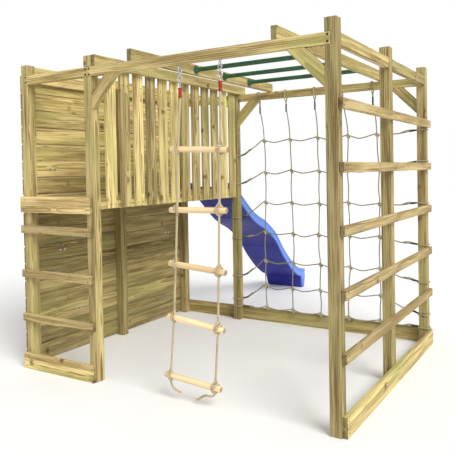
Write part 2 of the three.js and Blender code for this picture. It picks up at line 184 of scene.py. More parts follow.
def rope_finish(name, groove_shade_and_dirt, ridge, roughness):
    """Fibres run along each strand; the grooves between the strands are painted dark, as painted shade, and dirt
    darkens the rope towards the same colour.
    """
    f = Finish(name)
    fibre = f.attribute("fibre")
    strand = f.attribute("strand", "Fac")
    fine = f.noise(fibre, 1.0, 3.0, 0.6)
    dirt = f.noise(f.place(), 14.0, 3.0)
    # painted shade: where the lobe value is low, between the strands, the colour goes to the dark first colour
    tone = f.fade(strand, 0.32, 0.88) * (0.60 + 0.55 * fine)
    colour = f.mix(tone, groove_shade_and_dirt, ridge)
    colour = f.mix(f.fade(dirt, 0.45, 0.75, 0.0, 0.35), colour, groove_shade_and_dirt)
    height = strand * 0.6 + fine * 0.4
    return f.surface(Base_Color=colour, Roughness=roughness, Normal=f.bump(height, 0.0006))


def smooth_line(points, step):
    """Points a step apart along a Catmull-Rom curve through the given points."""
    points = [Vector(p) for p in points]
    ends = [points[0] * 2 - points[1], *points, points[-1] * 2 - points[-2]]
    fine = []
    for a, b, c, d in zip(ends, ends[1:], ends[2:], ends[3:]):
        parts = max(2, math.ceil((c - b).length / step * 2))
        for i in range(parts):
            t = i / parts
            fine.append(0.5 * (2 * b + (c - a) * t + (2 * a - 5 * b + 4 * c - d) * t**2 + (3 * b - a - 3 * c + d) * t**3))
    fine.append(points[-1])
    total = sum((b - a).length for a, b in zip(fine, fine[1:]))
    count = max(2, round(total / step))
    line, walked, goal = [fine[0].copy()], 0.0, total / count
    for a, b in zip(fine, fine[1:]):
        length = (b - a).length
        while length and walked + length >= goal - 1e-9 and len(line) < count:
            line.append(a.lerp(b, (goal - walked) / length))
            goal += total / count
        walked += length
    line.append(fine[-1].copy())
    return line, total


def add_laid_rope(bm, line, radius, pitch, sides):
    """A three-strand rope along a line, closed at both ends, with its fibre directions as attributes."""
    fibre = bm.verts.layers.float_vector.get("fibre") or bm.verts.layers.float_vector.new("fibre")
    strand = bm.verts.layers.float.get("strand") or bm.verts.layers.float.new("strand")
    ahead = (line[1] - line[0]).normalized()
    across = ahead.orthogonal().normalized()
    rings, walked = [], 0.0
    for i, centre in enumerate(line):
        walked += (centre - line[i - 1]).length if i else 0.0
        before, after = line[max(i - 1, 0)], line[min(i + 1, len(line) - 1)]
        turned = (after - before).normalized()
        across = (ahead.rotation_difference(turned) @ across).normalized()
        ahead = turned
        side = ahead.cross(across)
        twist = math.tau * walked / pitch
        ring = []
        for k in range(sides):
            angle = math.tau * k / sides
            lobe = abs(math.cos(1.5 * (angle - twist))) ** 0.8
            reach = radius * (0.70 + 0.30 * lobe)
            vert = bm.verts.new(centre + reach * (math.cos(angle) * across + math.sin(angle) * side))
            vert[fibre] = (walked * 18.0, (angle - twist) * radius * 1400.0, 0.0)
            vert[strand] = lobe
            ring.append(vert)
        rings.append(ring)
    for a, b in zip(rings, rings[1:]):
        for k in range(sides):
            bm.faces.new((a[k], a[(k + 1) % sides], b[(k + 1) % sides], b[k]))
    bm.faces.new(list(reversed(rings[0])))
    bm.faces.new(rings[-1])


def mesh_piece(name, bm, material, smooth=True):
    mesh = bpy.data.meshes.new(name)
    bm.to_mesh(mesh)
    bm.free()
    mesh.materials.append(material)
    for polygon in mesh.polygons:
        polygon.use_smooth = smooth
    piece = bpy.data.objects.new(name, mesh)
    scene.collection.objects.link(piece)
    return piece


swing_axis = Vector((0.325, -1.70735, 1.9463))
rope_spacing = 0.277
rope_radius = 0.007
rung_radius, rung_length = 0.0175, 0.395
sleeve_top, sleeve_length = {"left": -0.107, "right": -0.092}, 0.056


def rung_of(node):
    """Place of a CAD rung, leaning as it was tied, and the distance between its two holes."""
    lo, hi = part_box(node)
    spots = [v.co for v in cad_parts[node].data.vertices]
    left = [p for p in spots if p.x < lo.x + 0.006]
    right = [p for p in spots if p.x > hi.x - 0.006]
    along = (sum(right, Vector()) / len(right) - sum(left, Vector()) / len(left)).normalized()
    centre = (lo + hi) / 2
    hole = [t for t in ((p - centre).dot(along) for p in spots) if 0 < t < 0.45 * (hi.x - lo.x)]
    return Matrix.Translation(centre) @ Matrix.Rotation(math.atan2(-along.z, along.x), 4, "Y"), min(hole) + max(hole)


rung_place, ropes_apart = zip(*[rung_of(f"ladder_rung_{i + 1}") for i in range(5)])
ladder_rope_finish = rope_finish("ladder_rope", (0.055, 0.038, 0.018), (0.82, 0.68, 0.43), 0.9)


def tie_at(i, sign, down=0.0):
    return rung_place[i] @ Vector((sign * ropes_apart[i] / 2, 0, -down))


def rope_span(a, b):
    return [a.lerp(b, k / 5) for k in range(5)]


ladder_tails = {
    "left": [(0, 0, -26), (2, -1, -40), (9, -4, -54), (22, -8, -66), (40, -10, -75), (58, -9, -82), (76, -6, -88)],
    "right": [(0, 0, -22), (-5, -2, -38), (-18, -5, -48), (-36, -8, -51), (-56, -10, -50), (-76, -10, -56),
              (-94, -8, -69), (-111, -6, -81), (-129, -5, -88)],
}


def ladder_rope(name, points, body, **facts):
    line, length = smooth_line(points, 0.0028)
    bm = bmesh.new()
    add_laid_rope(bm, line, rope_radius, 0.048, 18)
    piece = mesh_piece(name, bm, ladder_rope_finish)
    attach(piece, body)
    return piece


for side, sign in (("left", -1), ("right", 1)):
    top = swing_axis + Vector((sign * rope_spacing / 2, 0, sleeve_top[side] - sleeve_length - 0.001))
    stops = [top] + [tie_at(i, sign) for i in range(3)]
    route = [p for a, b in zip(stops, stops[1:]) for p in rope_span(a, b)] + [stops[-1]]
    rope = ladder_rope(f"rope_upper_{side}", route, "ladder_upper", far_end="object", lay="taut")
    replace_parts(rope, f"ladder_rope_upper_{side}")
    last = tie_at(4, sign)
    route = rope_span(tie_at(2, sign, rung_radius + 0.0005), tie_at(3, sign)) + rope_span(tie_at(3, sign),
            last) + [last]
    route += [last + Vector(step) / 1000 for step in ladder_tails[side]]
    rope = ladder_rope(f"rope_lower_{side}", route, "ladder_lower", far_end="bare", lay="hanging")
    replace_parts(rope, f"ladder_rope_lower_{side}")


# Pressure-treated pine: posts, beams and rails are planed softwood with rounded arrises. The colour and the grain come
# from each stick's own lengthways direction, and its number gives its tone.
def timber_finish(name, pale, late, green, knots=0.5):
    f = Finish(name)
    board = f.attribute("board")
    grain = f.node("ShaderNodeVectorMath", {"operation": "MULTIPLY_ADD"},
                   {0: board, 1: (9.0, 0.0, 0.0), 2: f.attribute("grain")})
    parts = [f.node("ShaderNodeSeparateXYZ", {}, {0: grain}, out=k) for k in range(3)]
    chance = [f.node("ShaderNodeSeparateXYZ", {}, {0: board}, out=k) for k in range(3)]
    # knots: one cell of a stretched pattern holds at most one
    cell = (3.2, 11.0, 11.0)
    shift = f.node("ShaderNodeVectorMath", {"operation": "ADD"},
                   {0: f.scaled(grain, cell), 1: f.scaled(board, (0.0, 5.0, 7.0))})
    cells = {"Vector": shift, "Scale": 1.0, "Randomness": 0.9}
    spot = f.node("ShaderNodeTexVoronoi", {"feature": "F1"}, cells, out="Position")
    lot = f.node("ShaderNodeSeparateXYZ", {}, {0: f.node("ShaderNodeTexVoronoi", {"feature": "F1"}, cells,
                                                         out="Color")}, out=0)
    away = f.node("ShaderNodeVectorMath", {"operation": "SUBTRACT"}, {0: shift, 1: spot})
    away = f.scaled(away, (1 / cell[0], 0.8 / cell[1], 0.8 / cell[2]))
    distance = f.node("ShaderNodeVectorMath", {"operation": "LENGTH"}, {0: away}, out="Value")
    distance = distance + f.noise(grain, 60.0, 2.0) * 0.006
    kept = f.fade(lot, 1.0 - knots, 1.0 - knots + 0.02)
    size = 0.007 + 0.010 * lot
    knot = kept * f.fade(distance / size, 1.20, 0.95)
    rim = kept * f.fade(distance / size, 2.1, 1.1) * (1 - knot)
    bend = kept * 0.016 * (distance * -36.0).of("EXPONENT")
    # year rings round a pith that lies outside the stick
    warp = f.noise(f.scaled(grain, (1.1, 9.0, 9.0)), 1.0, 2.0) - 0.5
    py = parts[1] + 0.02 + 0.06 * chance[0]
    pz = parts[2] + 0.10 * (chance[1] - 0.5)
    radius = (py * py + pz * pz) ** 0.5 + 0.034 * warp + bend
    ring = (radius / 0.0085).of("FRACT")
    latewood = (ring ** 2.0) * f.fade(ring, 1.0, 0.90)
    broad = f.noise(f.scaled(grain, (1.5, 30.0, 30.0)), 1.0, 3.0, 0.6)
    streak = f.noise(f.scaled(grain, (3.5, 120.0, 120.0)), 1.0, 2.0, 0.6)
    fibre = f.noise(f.scaled(grain, (22.0, 700.0, 700.0)), 1.0, 2.0, 0.6)
    tone = latewood * 0.85 + f.fade(broad, 0.38, 0.66) * 0.60 + f.fade(streak, 0.52, 0.68) * 0.50 + (fibre - 0.5) * 0.45
    colour = f.mix(tone.math("MINIMUM", tone, 1.25), pale, late)
    patch = f.noise(f.scaled(grain, (1.3, 6.0, 6.0)), 1.0, 2.0)
    colour = f.mix(f.fade(patch, 0.40, 0.70, 0.0, green), colour, (0.33, 0.335, 0.105))
    ends = f.attribute("ends", "Fac")
    # The stick's third number sets its tone; on the left wall that tone also holds painted shade on the low boards and
    # painted light on the high boards.
    value = (0.66 + 0.56 * chance[2]) * (1 - 0.52 * ends) * f.fade(patch, 0.25, 0.6, 0.80, 1.08)
    bright = f.node("ShaderNodeCombineColor", {}, {0: value, 1: value * 0.985, 2: value * 0.94})
    colour = f.mix(1.0, colour, bright, "MULTIPLY")
    colour = f.mix(rim * 0.6, colour, (0.16, 0.085, 0.025))
    colour = f.mix(knot * 0.85, colour, (0.115, 0.055, 0.018))
    crack = knot * f.fade(f.noise(grain, 240.0, 1.0), 0.60, 0.66)
    check = f.fade(f.noise(f.scaled(grain, (2.2, 260.0, 260.0)), 1.0, 1.0), 0.735, 0.755) * (1 - ends)
    split = crack + check * 0.8
    colour = f.mix(split.math("MINIMUM", split, 1.0), colour, (0.045, 0.028, 0.012))
    height = latewood * 0.5 + fibre * 0.35 + knot * 0.4 - crack - check
    rough = 0.62 + 0.16 * fibre + 0.06 * latewood
    return f.surface(Base_Color=colour, Roughness=rough, Specular_IOR_Level=0.3, Normal=f.bump(height, 0.0006))


pine = timber_finish("pine", (0.82, 0.665, 0.315), (0.25, 0.172, 0.058), 0.50)
luck = random.Random(41)
ways = {"X": (1, 0, 0), "Y": (0, 1, 0), "Z": (0, 0, 1), "rising": (0.7071, 0, 0.7071), "falling": (-0.7071, 0, 0.7071)}


def mark_grain(bm, along, centre, number=None):
    """Gives each vertex its place in the stick, lengthways first, and the stick's own three numbers."""
    grain = bm.verts.layers.float_vector.new("grain")
    ends = bm.faces.layers.float.new("ends")
    way = Vector(ways[along])
    across = way.cross(Vector((0, 1, 0)) if along != "Y" else Vector((1, 0, 0))).normalized()
    third = way.cross(across)
    for vert in bm.verts:
        at = vert.co - centre
        vert[grain] = (at.dot(way), at.dot(across), at.dot(third))
    bm.normal_update()
    for face in bm.faces:
        face[ends] = 1.0 if abs(face.normal.dot(way)) > 0.6 else 0.0
    if number:
        board = bm.verts.layers.float_vector.new("board")
        for vert in bm.verts:
            vert[board] = number


def round_arrises(bm, size, segments=2):
    sharp = [e for e in bm.edges if len(e.link_faces) == 2 and e.calc_face_angle() > 0.6]
    bmesh.ops.bevel(bm, geom=sharp, offset=size, segments=segments, profile=0.6, affect="EDGES", clamp_overlap=True)


def box_mesh(lo, hi):
    bm = bmesh.new()
    bmesh.ops.create_cube(bm, size=1.0)
    for vert in bm.verts:
        vert.co = [lo[k] if vert.co[k] < 0 else hi[k] for k in range(3)]
    return bm


def finish_piece(piece, body="frame"):
    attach(piece, body)
    return piece


def stick_number(tone=None):
    number = [luck.random() for _ in range(3)]
    return number if tone is None else number[:2] + [tone]


def stick(name, lo, hi, along, material=pine, arris=0.003, tone=None):
    """A square-cut length of timber between two corners."""
    lo, hi = Vector(lo), Vector(hi)
    bm = box_mesh(lo, hi)
    round_arrises(bm, arris)
    mark_grain(bm, along, (lo + hi) / 2, stick_number(tone))
    return finish_piece(mesh_piece(name, bm, material, False))


def notched_stick(name, node, along, tone=None):
    """A length of timber with the cuts that its CAD solid has."""
    bm = bmesh.new()
    bm.from_mesh(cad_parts[node].data)
    bmesh.ops.remove_doubles(bm, verts=bm.verts, dist=1e-5)
    bmesh.ops.dissolve_limit(bm, angle_limit=0.02, verts=bm.verts, edges=bm.edges)
    round_arrises(bm, 0.003)
    lo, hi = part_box(node)
    mark_grain(bm, along, (lo + hi) / 2, stick_number(tone))
    piece = finish_piece(mesh_piece(name, bm, pine, False))
    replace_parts(piece, node)
    return piece


for node, tone in (("front_left", 0.39), ("front_middle", 0.30), ("front_right", -0.08), ("side_right", 0.05),
                   ("rear_right", 0.14), ("rear_middle", -0.04), ("rear_left", 0.14), ("wall_left", -0.10)):
    notched_stick(f"timber_post_{node}", f"post_{node}", "Z", tone)
for node in ("front_middle", "rear_middle"):
    notched_stick(f"timber_brace_{node}", f"brace_{node}", "rising")
for node in ("front_right", "rear_right"):
    notched_stick(f"timber_brace_{node}", f"brace_{node}", "falling")


def stick_for(node, along, tone=None, material=pine, arris=0.003):
    lo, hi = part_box(node)
    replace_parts(stick(f"timber_{node}", lo, hi, along, material, arris, tone), node)


for node, tone in (("beam_front_tower", 0.70), ("beam_front_bay", 0.62), ("beam_rear_tower", 0.5),
                   ("beam_rear_bay", 0.4),
                   ("ground_board_front", 1.05), ("ground_board_rear", 0.30)):
    stick_for(node, "X", tone)
for node in ("beam_right_front", "beam_right_rear", "wall_rail_front", "wall_rail_rear", "ground_board_right",
             "rail_tower_side", "rail_monkey_left", "rail_monkey_right"):
    stick_for(node, "Y")

# Climbing boards and tower rungs: warmer, untreated-looking boards nailed on the outside of the posts.
warm_pine = timber_finish("warm_pine", (0.76, 0.605, 0.305), (0.31, 0.205, 0.075), 0.15, 0.6)
for i in range(1, 6):
    stick_for(f"climb_board_{i}", "Y", 0.12 + 0.04 * i, warm_pine, 0.004)
for i in range(1, 4):
    stick_for(f"tower_rung_{i}", "X", 0.38 - 0.06 * i, warm_pine, 0.004)
stick_for("fascia_front", "X", 1.0, warm_pine, 0.004)


# Boards that repeat: a row of like boards, each with a number of its own.
def node_tree(name, inputs):
    tree = bpy.data.node_groups.new(name, "GeometryNodeTree")
    tree.interface.new_socket("Geometry", in_out="INPUT", socket_type="NodeSocketGeometry")
    for label, kind in inputs:
        tree.interface.new_socket(label, in_out="INPUT", socket_type=kind)
    tree.interface.new_socket("Geometry", in_out="OUTPUT", socket_type="NodeSocketGeometry")
    return tree, tree.nodes.new("NodeGroupInput"), tree.nodes.new("NodeGroupOutput")


def geometry_node(tree, kind, settings=None, links=None):
    made = tree.nodes.new(kind)
    for key, value in (settings or {}).items():
        setattr(made, key, value)
    for key, value in (links or {}).items():
        if isinstance(value, bpy.types.NodeSocket):
            tree.links.new(value, made.inputs[key])
        else:
            made.inputs[key].default_value = value
    return made


def numbered_and_real(tree, given, instances, out):
    """Stores each copy's random numbers, makes the copies real and gives them their material."""
    number = geometry_node(tree, "FunctionNodeRandomValue", {"data_type": "FLOAT_VECTOR"},
                           {"Seed": given.outputs["Seed"]})
    if "Least" in given.outputs:
        tree.links.new(given.outputs["Least"], number.inputs[0])
        tree.links.new(given.outputs["Most"], number.inputs[1])
    stored = geometry_node(tree, "GeometryNodeStoreNamedAttribute", {"data_type": "FLOAT_VECTOR", "domain": "INSTANCE"},
                           {"Geometry": instances, "Name": "board", "Value": number.outputs[0]})
    real = geometry_node(tree, "GeometryNodeRealizeInstances", {}, {0: stored.outputs[0]})
    dressed = geometry_node(tree, "GeometryNodeSetMaterial", {},
                            {"Geometry": real.outputs[0], "Material": given.outputs["Material"]})
    tree.links.new(dressed.outputs[0], out.inputs[0])


row_tree, given, out = node_tree("row_of_boards", [
    ("Board", "NodeSocketObject"), ("Count", "NodeSocketInt"), ("Start", "NodeSocketVector"),
    ("Step", "NodeSocketVector"),
    ("Seed", "NodeSocketInt"), ("Least", "NodeSocketVector"), ("Most", "NodeSocketVector"),
    ("Material", "NodeSocketMaterial")])
line = geometry_node(row_tree, "GeometryNodeMeshLine", {"mode": "OFFSET"}, {
    "Count": given.outputs["Count"], "Start Location": given.outputs["Start"], "Offset": given.outputs["Step"]})
one = geometry_node(row_tree, "GeometryNodeObjectInfo", {}, {"Object": given.outputs["Board"]})
copies = geometry_node(row_tree, "GeometryNodeInstanceOnPoints", {},
                       {"Points": line.outputs[0], "Instance": one.outputs["Geometry"]})
numbered_and_real(row_tree, given, copies.outputs[0], out)


def run_tree(name, tree, base, values, body="frame"):
    """Runs a node tree on a mesh and keeps the result as a plain mesh."""
    holder = bpy.data.objects.new(name + "_maker", base)
    scene.collection.objects.link(holder)
    modifier = holder.modifiers.new("maker", "NODES")
    modifier.node_group = tree
    for item in tree.interface.items_tree:
        if item.in_out == "INPUT" and item.name in values:
            modifier[item.identifier] = values[item.name]
    bpy.context.view_layer.update()
    made = holder.evaluated_get(bpy.context.evaluated_depsgraph_get())
    mesh = bpy.data.meshes.new_from_object(made)
    mesh.name = name
    piece = bpy.data.objects.new(name, mesh)
    scene.collection.objects.link(piece)
    bpy.data.objects.remove(holder)
    return finish_piece(piece, body)


def row(name, template, count, start, step, seed, tones=(0.0, 1.0), material=pine):
    """A row of copies; tones are the darkest and the palest that a copy can be."""
    return run_tree(name, row_tree, bpy.data.meshes.new(name), {
        "Board": template, "Count": count, "Start": start, "Step": step, "Seed": seed, "Material": material,
        "Least": (0.0, 0.0, tones[0]), "Most": (1.0, 1.0, tones[1])})


def board_template(size, along, arris, segments=2, material=pine):
    """One board with its low corner at the origin."""
    bm = box_mesh((0, 0, 0), size)
    round_arrises(bm, arris, segments)
    mark_grain(bm, along, Vector(size) / 2)
    return mesh_piece("board_template", bm, material, False)


# Left wall: tongue-and-groove boards with a V joint, nailed on the outside of three posts.
wall_lo, wall_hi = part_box("wall_cladding")
wall_count = 17
wall_cover = (wall_hi.z - wall_lo.z) / wall_count
wall_board = board_template((wall_hi.x - wall_lo.x, wall_hi.y - wall_lo.y, wall_cover - 0.0006), "Y", 0.0080, 1)
# The nine lowest boards, under the deck, take dark tones as painted shade from the deck; the boards above take pale
# tones as painted light.
wall_shaded_rows = 9
for name, first, count, tones in (("low", 0, wall_shaded_rows, (-0.15, 0.30)),
                                  ("high", wall_shaded_rows, wall_count - wall_shaded_rows, (0.60, 1.25))):
    start = wall_lo + Vector((0, 0, 0.0003 + first * wall_cover))
    wall = row(f"wall_boards_{name}", wall_board, count, start, (0, 0, wall_cover), 5, tones)
    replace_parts(wall, "wall_cladding")
bpy.data.objects.remove(wall_board)

# Guard: upright slats with gaps between them, screwed to two rails on the tower's side.
guard_lo, guard_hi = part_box("slat_panel")
slat_count, slat_wide, slat_thick = 12, 0.097, 0.018
post_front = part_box("post_front_middle")[1].y
post_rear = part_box("post_rear_middle")[0].y
slat_start = post_front + 0.066
slat_step = (post_rear - 0.025 - slat_wide - slat_start) / (slat_count - 1)
slat_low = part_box("deck")[1].z - 0.072
slat = board_template((slat_thick, slat_wide, guard_hi.z - slat_low), "Z", 0.003)
slats = row("guard_slats", slat, slat_count, (guard_hi.x - slat_thick, slat_start, slat_low), (0, slat_step, 0), 12,
            (0.1, 1.2))
bpy.data.objects.remove(slat)
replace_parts(slats, "slat_panel")
guard_rail = 0.054
for name, z in (("low", slat_low - 0.004), ("high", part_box("beam_front_bay")[0].z - guard_rail)):
    stick(f"guard_rail_{name}", (guard_lo.x, guard_lo.y, z),
          (guard_hi.x - slat_thick - 0.0003, guard_hi.y, z + guard_rail), "Y")

# Deck: boards across the tower on a ring of joists, with strips between the posts on both sides.
deck_lo, deck_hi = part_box("deck")
post_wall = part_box("post_wall_left")
inner_left = post_wall[1].x + 0.0003
inner_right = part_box("post_front_middle")[0].x - 0.0003
deck_count, deck_gap, deck_thick = 16, 0.004, 0.020
deck_step = (deck_hi.y - deck_lo.y + deck_gap) / deck_count
deck_board = board_template((inner_right - inner_left, deck_step - deck_gap, deck_thick), "X", 0.002)
floor_boards = row("deck_boards", deck_board, deck_count, (inner_left, deck_lo.y, deck_hi.z - deck_thick),
                   (0, deck_step, 0), 8)
bpy.data.objects.remove(deck_board)
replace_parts(floor_boards, "deck")
front_gap = (post_front + 0.0006, post_wall[0].y - 0.0006)
rear_gap = (post_wall[1].y + 0.0006, post_rear - 0.0006)
for name, x0, x1, (y0, y1) in (
    ("left_front", deck_lo.x, inner_left - 0.003, front_gap),
    ("left_rear", deck_lo.x, inner_left - 0.003, rear_gap),
    ("right", inner_right + 0.003, deck_hi.x, (front_gap[0], rear_gap[1])),
):
    stick(f"deck_strip_{name}", (x0, y0, deck_hi.z - deck_thick), (x1, y1, deck_hi.z), "Y", arris=0.002)
joist_lo, joist_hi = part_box("deck_frame")
joist = 0.038
ring = [
    ("front", (joist_lo.x, joist_lo.y), (joist_hi.x, joist_lo.y + joist), "X"),
    ("rear", (joist_lo.x, joist_hi.y - joist), (joist_hi.x, joist_hi.y), "X"),
    ("left", (joist_lo.x, joist_lo.y + joist), (joist_lo.x + joist, joist_hi.y - joist), "Y"),
    ("right", (joist_hi.x - joist, joist_lo.y + joist), (joist_hi.x, joist_hi.y - joist), "Y"),
]
for name, (x0, y0), (x1, y1), along in ring:
    piece = stick(f"joist_{name}", (x0, y0, joist_lo.z), (x1, y1, joist_hi.z), along)
    if name == "front":
        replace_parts(piece, "deck_frame")
for i, share in enumerate((0.36, 0.64)):
    x = inner_left + (inner_right - inner_left) * share
    stick(f"deck_batten_{i + 1}", (x - 0.03, joist_lo.y + 2 * joist, deck_lo.z),
          (x + 0.03, joist_hi.y - 2 * joist, deck_hi.z - deck_thick - 0.0002), "Y")


# Turned parts: the monkey bars are steel tubes with welded flanges, and the ladder's rungs are beech.
def turned(profile, sides, bm=None, place=Matrix.Identity(4)):
    """A solid turned round the X axis from (place along X, radius) pairs; the first and last radius are zero."""
    bm = bm or bmesh.new()
    rings = []
    for x, r in profile:
        if r == 0:
            rings.append([bm.verts.new(place @ Vector((x, 0, 0)))])
        else:
            rings.append([bm.verts.new(place @ Vector((x, r * math.cos(math.tau * k / sides),
                                                       r * math.sin(math.tau * k / sides))))
                          for k in range(sides)])
    for a, b in zip(rings, rings[1:]):
        for k in range(sides):
            n = (k + 1) % sides
            corners = [a[k % len(a)], a[n % len(a)], b[n % len(b)], b[k % len(b)]]
            kept = [v for i, v in enumerate(corners) if v not in corners[:i]]
            if len(kept) > 2:
                bm.faces.new(list(reversed(kept)))
    return bm


def smooth_by_angle(piece, degrees=35):
    bm = bmesh.new()
    bm.from_mesh(piece.data)
    for edge in bm.edges:
        edge.smooth = len(edge.link_faces) < 2 or edge.calc_face_angle() < math.radians(degrees)
    bm.to_mesh(piece.data)
    bm.free()
    return piece


def paint_finish(name, colour, roughness):
    f = Finish(name)
    peel = f.noise(f.place(), 320.0, 2.0)
    worn = f.noise(f.place(), 9.0, 4.0, 0.6)
    shade = f.mix(f.fade(worn, 0.35, 0.75), colour, tuple(c * 1.5 + 0.004 for c in colour))
    return f.surface(Base_Color=shade, Roughness=roughness + 0.14 * worn, Coat_Weight=0.4, Coat_Roughness=0.15,
                     Normal=f.bump(peel, 0.00008))


green_paint = paint_finish("green_paint", (0.002, 0.056, 0.010), 0.20)
bar_lo, bar_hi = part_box("monkey_bar_1")
bar_length = bar_hi.x - bar_lo.x
flange, tube, weld = (bar_hi.z - bar_lo.z) / 2, 0.016, 0.004
half_profile = [(0, 0), (0, flange - 0.001), (0.001, flange), (0.003, flange), (weld, flange - 0.001),
                (weld + 0.002, flange - 0.005),
                (weld + 0.010, tube + 0.008), (weld + 0.018, tube + 0.003), (weld + 0.026, tube + 0.001),
                (weld + 0.034, tube)]
profile = half_profile + [(bar_length - x, r) for x, r in reversed(half_profile)]
bar = smooth_by_angle(mesh_piece("bar_template", turned(profile, 40), green_paint))
bar_places = [(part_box(f"monkey_bar_{i}")[0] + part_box(f"monkey_bar_{i}")[1]) / 2 for i in range(1, 5)]
bar_start = Vector((bar_lo.x, bar_places[0].y, bar_places[0].z))
bars = row("bars", bar, 4, bar_start, bar_places[1] - bar_places[0], 3, material=green_paint)
bpy.data.objects.remove(bar)
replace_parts(bars, *[f"monkey_bar_{i}" for i in range(1, 5)])

# Ladder rungs: five turned beech rods, each tied level by hand, so none hangs quite like the next.
beech = timber_finish("beech", (0.82, 0.645, 0.40), (0.64, 0.45, 0.24), 0.0, 0.0)
rung_profile = [(0, 0), (0, rung_radius - 0.004), (0.0012, rung_radius - 0.0018), (0.004, rung_radius),
                (0.05, rung_radius), (rung_length / 2, rung_radius)]
rung_profile += [(rung_length - x, r) for x, r in reversed(rung_profile[:-1])]
ladder_body = ["ladder_upper"] * 3 + ["ladder_lower"] * 2
for i in range(5):
    bm = turned(rung_profile, 32, place=Matrix.Translation((-rung_length / 2, 0, 0)))
    mark_grain(bm, "X", Vector(), [luck.random(), luck.random(), 0.6 + 0.4 * luck.random()])
    bm.transform(rung_place[i])
    rung = finish_piece(smooth_by_angle(mesh_piece(f"beech_rung_{i + 1}", bm, beech), 50), ladder_body[i])
    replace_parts(rung, f"ladder_rung_{i + 1}")

# Ladder knots: at each hole the rope forks into a loop that goes round the rung, with one turn crossed over its front.
fork = [(-2, 0, 44), (-7, -5, 32), (-11, -16, 18), (-12, -24, 3), (-10, -21, -12), (-4, -8, -25), (3, 6, -27),
        (9, 19, -15),
        (11, 24, 1), (11, 17, 17), (8, 6, 30), (2, 1, 44)]
strap = [(11, 6, 24), (10, -13, 21), (5, -24, 8), (-3, -25, -7), (-8, -14, -21), (-6, 4, -26), (0, 20, -16),
         (4, 25, 2), (8, 17, 18)]
for name, first, count in (("upper", 0, 3), ("lower", 3, 2)):
    bm = bmesh.new()
    for i in range(first, first + count):
        for sign in (-1, 1):
            for turns in (fork, strap):
                points = [rung_place[i] @ Vector((sign * (ropes_apart[i] / 2 + x / 1000), y / 1000, z / 1000)) for x,
                          y, z in turns]
                add_laid_rope(bm, smooth_line(points, 0.004)[0], 0.0060, 0.040, 12)
    finish_piece(mesh_piece(f"ladder_knots_{name}", bm, ladder_rope_finish), ladder_body[first])


# Ladder hardware: galvanised eye screws in the beam, a swivel hook on each, and a ring that carries a red plastic
# sleeve. The eyes stay on the beam and the rest swings with the ladder.
def add_tube(bm, line, radius, sides=12, closed=False):
    """A round bar along a line of points; a closed line makes a ring."""
    line = [Vector(p) for p in line]
    last = len(line)
    ahead = (line[1] - line[-1 if closed else 0]).normalized()
    across = ahead.orthogonal().normalized()
    rings = []
    for i, centre in enumerate(line):
        before = line[i - 1] if i or closed else line[0]
        after = line[(i + 1) % last] if i + 1 < last or closed else line[-1]
        turned_way = (after - before).normalized()
        across = (ahead.rotation_difference(turned_way) @ across).normalized()
        ahead = turned_way
        side = ahead.cross(across)
        rings.append([bm.verts.new(centre + radius * (math.cos(math.tau * k / sides) * across
                      + math.sin(math.tau * k / sides) * side)) for k in range(sides)])
    # a closed ring is flat, so its first and last sections face the same way
    pairs = list(zip(rings, rings[1:] + rings[:1] if closed else rings[1:]))
    for a, b in pairs:
        for k in range(sides):
            bm.faces.new((a[k], a[(k + 1) % sides], b[(k + 1) % sides], b[k]))
    if not closed:
        bm.faces.new(list(reversed(rings[0])))
        bm.faces.new(rings[-1])
    return bm


def hoop(centre, radius, across, up, stretch=1.0, steps=36):
    centre, across, up = Vector(centre), Vector(across), Vector(up)
    return [centre + radius * (math.cos(math.tau * i / steps) * across + stretch * math.sin(math.tau * i / steps) * up)
            for i in range(steps)]


zinc = Finish("zinc")
spangle = zinc.node("ShaderNodeTexVoronoi", {"feature": "F1"}, {"Vector": zinc.place(), "Scale": 420.0}, out="Color")
spangle = zinc.node("ShaderNodeSeparateXYZ", {}, {0: spangle}, out=0)
stain = zinc.noise(zinc.place(), 60.0, 4.0, 0.65)
zinc_colour = zinc.mix(spangle * 0.6, (0.66, 0.67, 0.68), (0.46, 0.47, 0.49))
zinc_colour = zinc.mix(zinc.fade(stain, 0.52, 0.78, 0.0, 0.5), zinc_colour, (0.22, 0.20, 0.17))
zinc = zinc.surface(Base_Color=zinc_colour, Metallic=1.0, Roughness=0.26 + 0.24 * stain,
                    Normal=zinc.bump(stain, 0.0001))
side_way, front_way, up_way = Vector((0, 1, 0)), Vector((1, 0, 0)), Vector((0, 0, 1))
eye_radius, wire, ring_radius, swivel_length = 0.012, 0.0035, 0.016, 0.016
barrel_top = -2 * eye_radius + 0.001
ring_drop = barrel_top - swivel_length - ring_radius + 0.001
down_turn = Matrix.Rotation(math.radians(90), 4, "Y")
